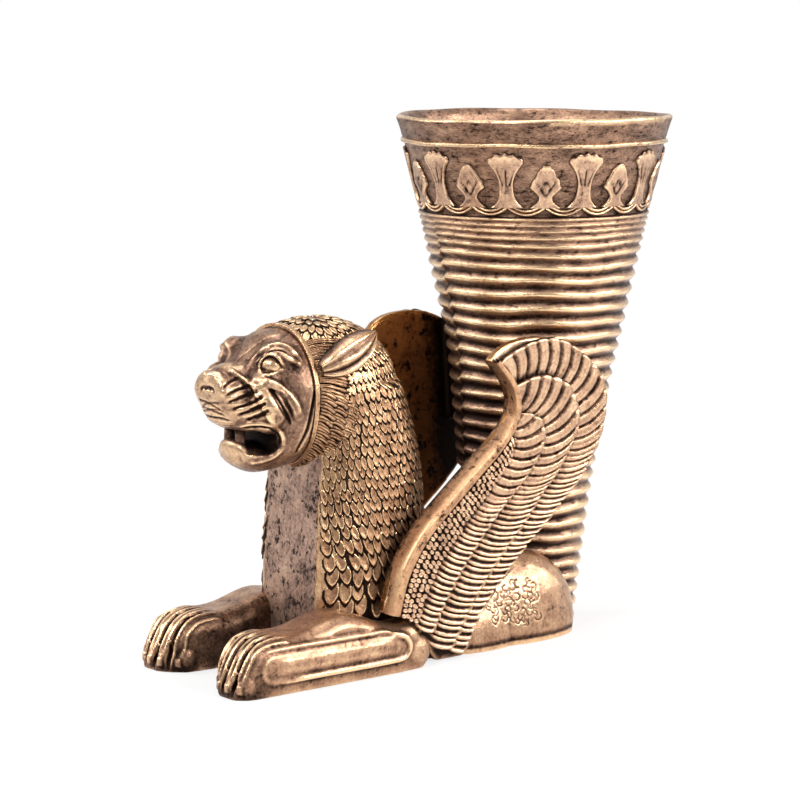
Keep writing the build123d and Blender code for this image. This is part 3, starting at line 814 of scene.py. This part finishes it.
# %% Creases of the face, and the far brow made plain
touch = seen_from_camera(bm)
creases = [
    (0.8, -0.6, 0.7, (225, 590), (285, 535), (335, 512)),
    (0.8, -0.7, 0.7, (250, 640), (330, 595), (420, 566)),
    (0.8, -0.7, 0.7, (262, 690), (370, 642), (462, 604)),
    (0.8, -0.8, 0.7, (290, 738), (400, 695), (500, 645)),
    (0.8, -0.8, 0.7, (335, 775), (450, 735), (530, 690)),
    (0.8, -0.8, 0.7, (390, 808), (480, 780), (552, 742)),
    (1.1, -0.7, 1.0, (395, 632), (440, 612), (470, 600)),
    (1.2, -1.0, 1.1, (405, 692), (455, 668), (508, 640)),
    (1.2, -1.1, 1.1, (415, 745), (480, 718), (536, 686)),
    (1.2, -1.0, 1.1, (440, 795), (500, 772), (556, 738)),
    (0.7, -1.1, 0.6, (560, 590), (625, 665), (668, 745), (700, 825)),
    (0.5, -0.7, 0.5, (500, 462), (503, 405), (545, 366), (598, 376), (624, 415), (600, 452), (550, 474),
     (505, 468)),
    (0.6, -0.6, 0.6, (455, 430), (495, 372), (560, 322), (640, 318), (700, 352)),
    (0.6, -0.7, 0.5, (385, 866), (470, 852), (560, 866), (618, 912), (624, 975)),
    (0.6, -0.6, 0.5, (60, 660), (130, 690), (220, 745)),
    (0.6, -0.6, 0.5, (60, 705), (140, 735), (240, 775)),
    (0.6, -0.6, 0.5, (80, 760), (170, 790), (285, 812)),
    (0.6, -0.6, 0.5, (120, 815), (200, 840), (310, 850)),
    (0.9, -0.8, 0.8, (95, 590), (125, 578), (155, 592), (165, 620)),
    (0.9, -0.8, 0.8, (820, 180), (870, 270), (895, 400), (890, 540), (862, 700), (820, 880), (740, 1040)),
]
creases += [(0.5, -0.35, 0.5, (330 + 22 * k, 425 - 4 * k), (450 + 24 * k, 320 - 6 * k),
             (590 + 22 * k, 215 - 6 * k)) for k in range(-2, 6)]
draw_lines(bm, face_strokes(creases), 0.8)
ease(bm, 1)
ease(bm, 8, [v for v in bm.verts if v.co.x < -6 and 108 < v.co.z < 124])
eye_place = np.array(face_point(560, 420))
# Places the head hides from the sky, in the mouth, round the eyes and under the lips, get painted shade; the
# front of the muzzle is made lighter.
relief = form_relief(bm, 9, 1.5) - 0.75 * sheltered(bm, 9.0) - 0.03
relief += 0.12 * grow(points_of(bm)[:, 1], -83, -87)
settle("lion_head", bm, "face_gold", ["head_shell", "lower_jaw"], relief)

# %% [markdown]
# ## Eyes, ears and mouth
# An eye is an almond ball between two raised lids. An ear is a leaf laid back along the hood, with a thick
# lower rim and a crease down its middle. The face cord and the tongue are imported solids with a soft
# skin, and the fangs are two posts.

# %% Eyes
for side, word in SIDES:
    bm = bmesh.new()
    bmesh.ops.create_uvsphere(bm, u_segments=28, v_segments=18, radius=4.3)
    points = points_of(bm) * (1, 1, 0.9) + eye_place + (-2.0, 2.3, -0.6)
    lay(bm, points * (side, 1, 1))
    settle(word + "_eye_ball", bm, "face_gold", [word + "_eye"], np.full(len(points), 0.75))

# %% Ears
ear_spots = [(23.5, -64.5, 112.5), (26.2, -57, 115.5), (26.4, -49, 119), (24.0, -38.0, 124)]
ear_rise = np.array([-1.5, 1.2, 1.9, 1.4, 0.7, 1.3, 2.0, 2.1, 1.5, 1.2, 1.7, 2.1, 1.7, 0.6, -1.5])
ear_relief = np.array([0.1, 0.7, 0.95, 0.6, 0.05, 0.5, 0.8, 0.8, 0.5, 0.4, 0.7, 0.85, 0.8, 0.5, 0.1])
ear_rows = 30
for side, word in SIDES:
    bm = leaf_grid(len(ear_rise) - 1, ear_rows)
    u, v, _ = points_of(bm).T
    row = np.round(v * ear_rows).astype(int)
    column = np.round((u + 1) * 7).astype(int)
    half = 6.4 * np.sin(np.pi * np.clip(v * 0.93 + 0.05, 0, 1) ** 0.8) ** 0.75
    points = smooth_line(ear_spots, ear_rows + 1)[row]
    points[:, 1] -= 0.34 * half * u
    points[:, 2] += 0.94 * half * u
    points[:, 0] += ear_rise[column] * np.minimum(half / 4, 1) - np.maximum(points[:, 2] - 117, 0) * 0.35
    lay(bm, points * (side, 1, 1))
    settle(word + "_ear_leaf", bm, "face_gold", [word + "_ear"], ear_relief[column])

# %% Face cord, tongue and fangs
bm = skin_over(cad_copy("face_cord"), 0.4, 4)
put_points(bm, points_of(bm) - 0.5 * normals_of(bm))
settle("face_cord_ring", bm, "mane_gold", ["face_cord"], form_relief(bm) + 0.08)
bm = skin_over(cad_copy("tongue"), 0.4, 4)
settle("lion_tongue", bm, "face_gold", ["tongue"], form_relief(bm) - 0.2)
bm = bmesh.new()
for x in (3.4, -3.4):
    bmesh.ops.create_cone(bm, segments=24, radius1=2.2, radius2=1.7, depth=10, cap_ends=True,
                          matrix=Matrix.Translation((x, -86.0, 87.2)))
settle("lion_fangs", bm, "face_gold", ["fangs"], np.full(len(bm.verts), 0.42))

# %% [markdown]
# ## Forelegs
# The forelegs lie flat on the ground. A raised line runs round a long cushion on the outer side, and four
# toes with tendons and nails end the paw. Rays from above, the front and the side set the strokes.

# %% Leg skin
down, back, inward = (0, 0, -1), (0, 1, 0), (-1, 0, 0)


def line_on(tree, spots, aim):
    """Points where rays from each spot meet a skin."""
    hits = [tree.ray_cast(Vector(spot), Vector(aim))[0] for spot in spots]
    return [tuple(hit) for hit in hits if hit]


def above_ground(bm):
    """Flattens what lies under the ground, and gives back the points."""
    points = points_of(bm)
    points[:, 2] = np.maximum(points[:, 2], 0)
    put_points(bm, points)
    return points


def both_sides(form):
    """The form for the left side, then its mirror image for the right."""
    for side, word in SIDES:
        bm = form.copy()
        lay(bm, points_of(bm) * (side, 1, 1))
        yield side, word, bm
    form.free()


bm = cad_copy("left_foreleg")
before_paw = -125
toes = line_on(BVHTree.FromBMesh(bm), [(x, before_paw, 6) for x in (16.4, 22.3, 28.2, 33.9)], back)
for x, y, _ in toes:
    lump(bm, (x, y + 3.3, 4.6), (2.9, 3.8, 5.2))
    lump(bm, (x, y + 9.0, 12.5), (2.7, 5.5, 5.6), (38, 0, 0))
lump(bm, (30.5, -30, 6), (6.5, 9.0, 8))
bm = skin_over(bm, 0.48, 10)

# %% Toes, tendons, cushion and nails
tree = BVHTree.FromBMesh(bm)
gaps, tendons = (19.4, 25.3, 31.1), (15.2, 17.7, 21.2, 23.6, 27.0, 29.5, 32.6, 34.8)
strokes = []
for places, up_front, on_top, stroke in (
        (gaps, (2, 5, 8, 11, 14), (-101, -97, -93), (1.2, -1.6, 1.1)),
        (tendons, (6, 9, 12), (-102, -98, -92, -88), (0.8, 0.6, 0.8))):
    for x in places:
        line = line_on(tree, [(x, before_paw, z) for z in up_front], back)
        line += line_on(tree, [(x, y, 60) for y in on_top], down)
        strokes.append((line, *stroke))
around_panel = [(-98, 16.6), (-85, 16.7), (-70, 16.7), (-55, 16.5), (-45, 16.0), (-39.5, 14.6), (-36, 12.4),
                (-35, 10), (-36, 7.3), (-39, 5.5), (-50, 5.2), (-65, 5.2), (-80, 5.2), (-92, 4.6)]
strokes.append((line_on(tree, [(70, y, z) for y, z in around_panel], inward), 1.5, 0.9, 1.4))
strokes.append((line_on(tree, [(70, y, 10.7) for y in (-96, -80, -60, -42)], inward), 3.8, 0.8, 2.6))
draw_lines(bm, strokes, 0)
nails = line_on(BVHTree.FromBMesh(bm), [(x, before_paw, 4.2) for x, _, _ in toes], back)
draw_lines(bm, [([(x, y, 2.0), (x, y, 5.6)], 1.6, 0.7, 1.0) for x, y, _ in nails], 0)
ease(bm, 1)
_, y, z = above_ground(bm).T
for side, word, bm in both_sides(bm):
    if side < 0:
        bmesh.ops.translate(bm, verts=bm.verts, vec=(2.5, 3.5, 0))
    # Painted shade on the legs: darker low on the front of the toes, on the sides turned in towards the other
    # leg and on the near paw's front; the far paw's front gets a little painted light.
    wear_and_painted_shading = 0.3 * grow(z, 6, 1) * grow(y, -98, -103)
    wear_and_painted_shading += 0.28 * np.clip(-1.5 * side * normals_of(bm)[:, 0], 0, 1)
    wear_and_painted_shading += 0.13 * grow(y, -90, -98) * (1 if side > 0 else -0.4)
    settle(word + "_leg", bm, "leg_gold", [word + "_foreleg"], form_relief(bm, 9, 1.3) - wear_and_painted_shading)

# %% [markdown]
# ## Haunches and body
# The haunch is a smooth dome under the wing with a patch of engraved curls. The low body carries neck,
# wings and horn, and can only be seen between them.

# %% Haunch with curls, and the body
bm = cad_copy("left_haunch")
lump(bm, (17.5, 34, 5), (13.5, 27.5, 29.0))
lump(bm, (20, 10, 4), (11.0, 21, 18))
bm = skin_over(bm, 0.45, 12)
above_ground(bm)
tree = BVHTree.FromBMesh(bm)
chance = np.random.default_rng(3)
curl_turns = np.linspace(0, 4, 6)
curls = []
for k in range(60):
    y, z = 11 + 23 * chance.random(), 8 + 16 * chance.random()
    start, size = math.tau * chance.random(), 1.2 + 0.9 * chance.random()
    radius = size * (1 - 0.1 * curl_turns)
    arc_y, arc_z = y + radius * np.cos(curl_turns + start), z + radius * np.sin(curl_turns + start)
    line = line_on(tree, [(60, *spot) for spot in zip(arc_y, arc_z)], inward)
    if len(line) == len(curl_turns):
        curls.append((line, 0.5, -0.34, 0.5))
draw_lines(bm, curls, 0)
for side, word, bm in both_sides(bm):
    sole = np.interp(points_of(bm)[:, 2], [0, 1.4, 2.0, 2.6, 4.0], [0.3, 0.3, -0.3, -0.3, 0.03])
    settle(word + "_flank", bm, "leg_gold", [word + "_haunch"], form_relief(bm, 6, 2.0) + sole)
bm = skin_over(cad_copy("torso_shell"), 0.8, 3)
settle("body_saddle", bm, "under_brown", ["torso_shell"], look=["leg_gold"])
# The plugs take the darker brown as painted shade.
for name in ("torso_plug", "neck_plug"):
    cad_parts[name].data.materials.clear()
    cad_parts[name].data.materials.append(looks["under_brown"])

# %% [markdown]
# ## Wings
# Each wing is a slab with a rolled leading edge, a band of tiny scales and three rows of feathers that
# overlap like roof tiles. The rows are drawn as pairs of points, the root and the tip of a feather,
# from the top of the wing down to its foot. The far wing is a little taller than the near one.

# %% Feather guides: root y, root z, tip y, tip z
coverts = [
    (11.8, 89.5, 15, 92.3), (11.6, 87, 21, 91.3), (11.3, 84.5, 25.5, 88.5), (11, 82, 27.6, 84),
    (10.4, 79, 27, 79), (9, 75.5, 24.5, 74), (6, 71, 20.5, 69), (2, 66, 14.5, 62.8), (-4, 60, 8, 56.8),
    (-8.5, 55.5, 3, 51), (-12.5, 51, -1.5, 46), (-16.5, 46.5, -5, 41.5), (-20, 42, -9, 36.5),
    (-23, 37, -12.3, 31.5), (-26, 31.5, -15.5, 26.5), (-28.3, 26, -18.5, 21.5), (-30.3, 20.5, -21, 16.3),
    (-31.5, 17.5, -23, 12.8),
]
secondaries = [
    (12, 98, 11, 102), (13, 95, 14.5, 103.2), (14.5, 92, 20, 105), (18, 90.5, 26.5, 105.4),
    (22, 89, 33, 104), (24.5, 86.5, 38.5, 101.3), (25.5, 84, 42.3, 96.5), (26, 81.5, 44.8, 91),
    (25.5, 78.5, 45.2, 85), (24, 75, 43, 79.5), (21, 71, 39.5, 73), (17, 66.5, 35.5, 67),
    (12, 62, 30, 61.5), (7, 57.5, 25.5, 55.5), (2, 52.5, 20.5, 49.3), (-2, 48, 15, 43.5),
    (-6.5, 43, 10.2, 38), (-10.5, 38, 5.7, 32.7), (-14, 33, 1.6, 27.5), (-17, 28, -2, 22.5),
    (-20, 23, -4.8, 18), (-22.5, 18, -7.5, 13), (-24.5, 13.5, -10, 8.5), (-25.5, 10, -12.3, 4.8),
]
primaries = [
    (12.5, 102, 4, 110.8), (14, 102.5, 8.5, 113.8), (17, 103.5, 13.5, 116), (21, 104, 19, 118),
    (26, 104, 25.5, 119), (31, 103, 32, 118.8), (35, 101.5, 38.5, 116.8), (38.5, 98.5, 45.5, 112.7),
    (41, 94.5, 52.3, 107.6), (43, 90, 57.2, 102.2), (43.5, 85.5, 59.7, 96), (43, 81.5, 60, 89.5),
    (41, 77.5, 59, 82.3), (39, 74, 57, 76), (36, 70, 54, 71), (33, 66, 51, 66), (29, 62.5, 47, 61.5),
    (25, 58.5, 42, 57), (21.5, 54, 37, 52), (17, 49.5, 32, 47.5), (12.5, 44.5, 26.5, 43),
    (8.5, 40, 21.5, 38.3), (5, 35.5, 17, 34), (1.5, 31, 13, 29.5), (-2, 26.5, 8.5, 25), (-5, 22, 5, 20.5),
    (-7, 17.5, 1.7, 15.5), (-9.5, 13, -1, 10.5), (-12, 8.5, -3, 6), (-14, 5.5, -6, 1.8),
]
lead = [
    (-43, 22.5), (-40, 35), (-35, 45), (-28, 54), (-18, 63), (-5, 74), (7, 84), (12.5, 92), (11, 101.5),
    (2, 112),
]
lean_x, lean_z = math.sin(math.radians(4)), math.cos(math.radians(4))
wing_inner_face = 27
near_tall, far_tall = 119.5, 123


def far_reach(y, z):
    """How far the far wing's rear edge reaches beyond the near wing's, low down."""
    return 2.6 * np.exp(-((z - 62) / 11) ** 2) * grow(y, -30, 35)


def on_wing(side, across, y, z):
    """A point of a wing: across is the distance out from its inner face."""
    if side < 0:
        z = z * far_tall / near_tall
        y = y + far_reach(y, z)
    x = wing_inner_face + across * lean_z + z * lean_x
    return np.stack([side * x, y, z * lean_z - across * lean_x], -1)


# %% Rows of feathers
def feather_row(name, node, side, guides, count, level):
    """Feathers of one row: flat bands at the top of the wing, and rims round a dark middle at its foot."""
    bm, tile = repeated(leaf_grid(8, 7), count)
    u, v = tile[:, 0], 1 - (1 - tile[:, 1]) ** 1.7
    guide = np.array(guides)
    steps = lengths((guide[:, :2] + guide[:, 2:]) / 2)
    line = smooth_line(np.c_[guide, steps / steps[-1]], 400)
    columns = [0, 0.25, 0.5, 0.75, 1]
    band = np.interp(np.abs(u), columns, [0.9, 1.0, 0.95, 0.5, -0.5])
    rims = np.interp(np.abs(u), columns, [-0.2, 0.3, 1.0, 0.9, -0.8])
    tip = (v > 0.94) & (v < 0.99)
    edge = np.where(v > 0.99, -1.2, 0)
    placed, shades = [], []
    for k in range(count):
        ends = along((k + 0.5 + u * 0.5) / count, line[:, 4], line[:, :4])
        root, run = ends[:, :2], ends[:, 2:] - ends[:, :2]
        low = min(max((k / count - 0.3) / 0.3, 0), 1)
        ridge = np.where(tip & (np.abs(u) < 0.8 + 0.4 * (low < 0.5)), 1.0, band + (rims - band) * low)
        reach = v * (1.03 - (0.03 + 0.09 * low) * u ** 2)
        bend = (0.15 - 0.05 * low) * 4 * reach * (1 - reach)
        flat = root + run * reach[:, None] + np.stack([run[:, 1], -run[:, 0]], 1) * bend[:, None]
        placed.append(on_wing(side, level + 1.7 * v + 0.7 * ridge + edge, flat[:, 0], flat[:, 1]))
        # The root of each feather, under the tips of the row above, gets a painted shadow.
        out_of_root_shadow = np.clip(v / (0.2 + 0.25 * low), 0, 1)
        shade = np.clip((0.62 + 0.25 * low) * ridge, 0.2 - 0.2 * low, 1) * (0.1 + 0.9 * out_of_root_shadow)
        shades.append(np.clip(shade + edge, 0, 1))
    lay(bm, np.vstack(placed))
    settle(name, bm, "wing_gold", [node], np.hstack(shades))


for side, word in SIDES:
    feather_row(word + "_outer_feathers", word + "_primaries", side, primaries, 31, 4.0)
    feather_row(word + "_middle_feathers", word + "_secondaries", side, secondaries, 26, 5.2)
    feather_row(word + "_inner_feathers", word + "_coverts", side, coverts, 22, 6.2)

# %% [markdown]
# ## Rolled edge, band of tiny scales and slabs
# The leading edge is a smooth roll that gives the wing its thickness. Behind it lies a band of tiny
# scales, four abreast, each a small copy of the mane's tongue.

# %% Rolled leading edge
edge_rows = 70
lead_line = smooth_line(lead, edge_rows + 1)
lead_way = np.gradient(lead_line, axis=0)
lead_way /= np.linalg.norm(lead_way, axis=1)[:, None]
lead_side = np.c_[lead_way[:, 1], -lead_way[:, 0]]
edge_taper = np.interp(np.arange(edge_rows + 1), [0, 25, 45, 56, 70], [0.85, 0.82, 0.75, 0.48, 0.32])[:, None]
edge_in = np.array([0.0, 0.0, 0.0, 0.4, 0.9, 2.4, 3.9, 5.0, 5.5, 6.2, 6.4])
edge_rise = np.array([0.3, 2.6, 5.2, 7.3, 7.9, 8.0, 8.0, 7.9, 7.6, 6.4, 4.2])
edge_relief = np.array([0.2, 0.45, 0.5, 0.72, 0.6, 0.5, 0.5, 0.62, 0.75, 0.3, 0.0])
for side, word in SIDES:
    bm = leaf_grid(len(edge_in) - 1, edge_rows)
    u, v, _ = points_of(bm).T
    row = np.round(v * edge_rows).astype(int)
    column = np.round((u + 1) * 5).astype(int)
    y, z = (lead_line[row] + lead_side[row] * edge_in[column][:, None] * edge_taper[row]).T
    lay(bm, on_wing(side, edge_rise[column], y, z))
    settle(word + "_rolled_edge", bm, "wing_gold", [word + "_wing_edge"], edge_relief[column],
           look=["edge_gold"])

# %% Band of tiny scales
abreast, apart, line_count = 4, 1.9, 120
inner_line = smooth_line((lead_line + lead_side * 6.2 * edge_taper)[0:52:3], line_count)
root_line = smooth_line([(0.85 * a + 0.15 * c, 0.85 * b + 0.15 * d) for a, b, c, d in coverts[:2:-1]],
                        line_count)
for side, word in SIDES:
    spots = []
    for row in range(abreast):
        share = (row + 0.45) / abreast
        path = inner_line * (1 - share) + root_line * share
        steps = lengths(path)
        for far in np.arange(0.8 + 0.5 * apart * (row % 2), steps[-1], apart):
            y, z = along(far, steps, path)
            next_y, next_z = along(far + 0.5, steps, path)
            size = np.linalg.norm(along(far, steps, root_line - inner_line)) / abreast
            nudge = chance.uniform(-0.4, 0.4, 4)
            spots.append((y + nudge[0], z + nudge[1], math.atan2(next_z - z, next_y - y) + nudge[2],
                          size * (1 + 0.5 * nudge[3])))
    bm, tile = repeated(scale_tile(8), len(spots))
    lift = 7.2 + by_ring(tile, -0.4, -0.3, 0.8, 0.6) - 0.25 * tile[:, 0]
    placed = []
    for y, z, angle, size in spots:
        a, b = tile[:, 0] * 1.12, tile[:, 1] * size * 0.6
        placed.append(on_wing(side, lift, y + a * math.cos(angle) - b * math.sin(angle),
                              z + a * math.sin(angle) + b * math.cos(angle)))
    lay(bm, np.vstack(placed))
    relief = np.tile(by_ring(tile, -0.2, -0.05, 0.78, 0.55), len(spots))
    settle(word + "_tiny_scales", bm, "wing_gold", (), relief)
    bm = leaf_grid(6, 60)
    u, v, _ = points_of(bm).T
    even, share = np.linspace(0, 1, line_count), (u + 1)[:, None] * 0.56 - 0.06
    y, z = (along(v, even, inner_line) * (1 - share) + along(v, even, root_line) * share).T
    lay(bm, on_wing(side, 6.9, y, z))
    # The ground under the tiny scales is painted dark as the shade between them.
    settle(word + "_scale_ground", bm, "wing_gold", (), np.full(len(u), 0.1))

# %% Wing slabs
for side, word in SIDES:
    bm = skin_over(cad_copy(word + "_wing"), 0.7, 3)
    bm.normal_update()
    # Faces turned in, towards the horn, take the darker brown finish as painted shade.
    for face in bm.faces:
        face.material_index = int(face.normal.x * side < 0.3)
    points = points_of(bm)
    _, y, z = points.T
    if side < 0:
        y += far_reach(y, z)
        put_points(bm, points)
    # Painted shade on the slab's low front corner by the foreleg and on the far wing's rear edge by the horn.
    shade_share = grow(z, 9, 5) * grow(y, 2, -2) + 1.3 * (side < 0) * grow(y, 30, 42)
    settle(word + "_wing_slab", bm, "wing_gold", [word + "_wing"], form_relief(bm) - 0.45 * shade_share,
           look=["wing_gold", "under_brown"])
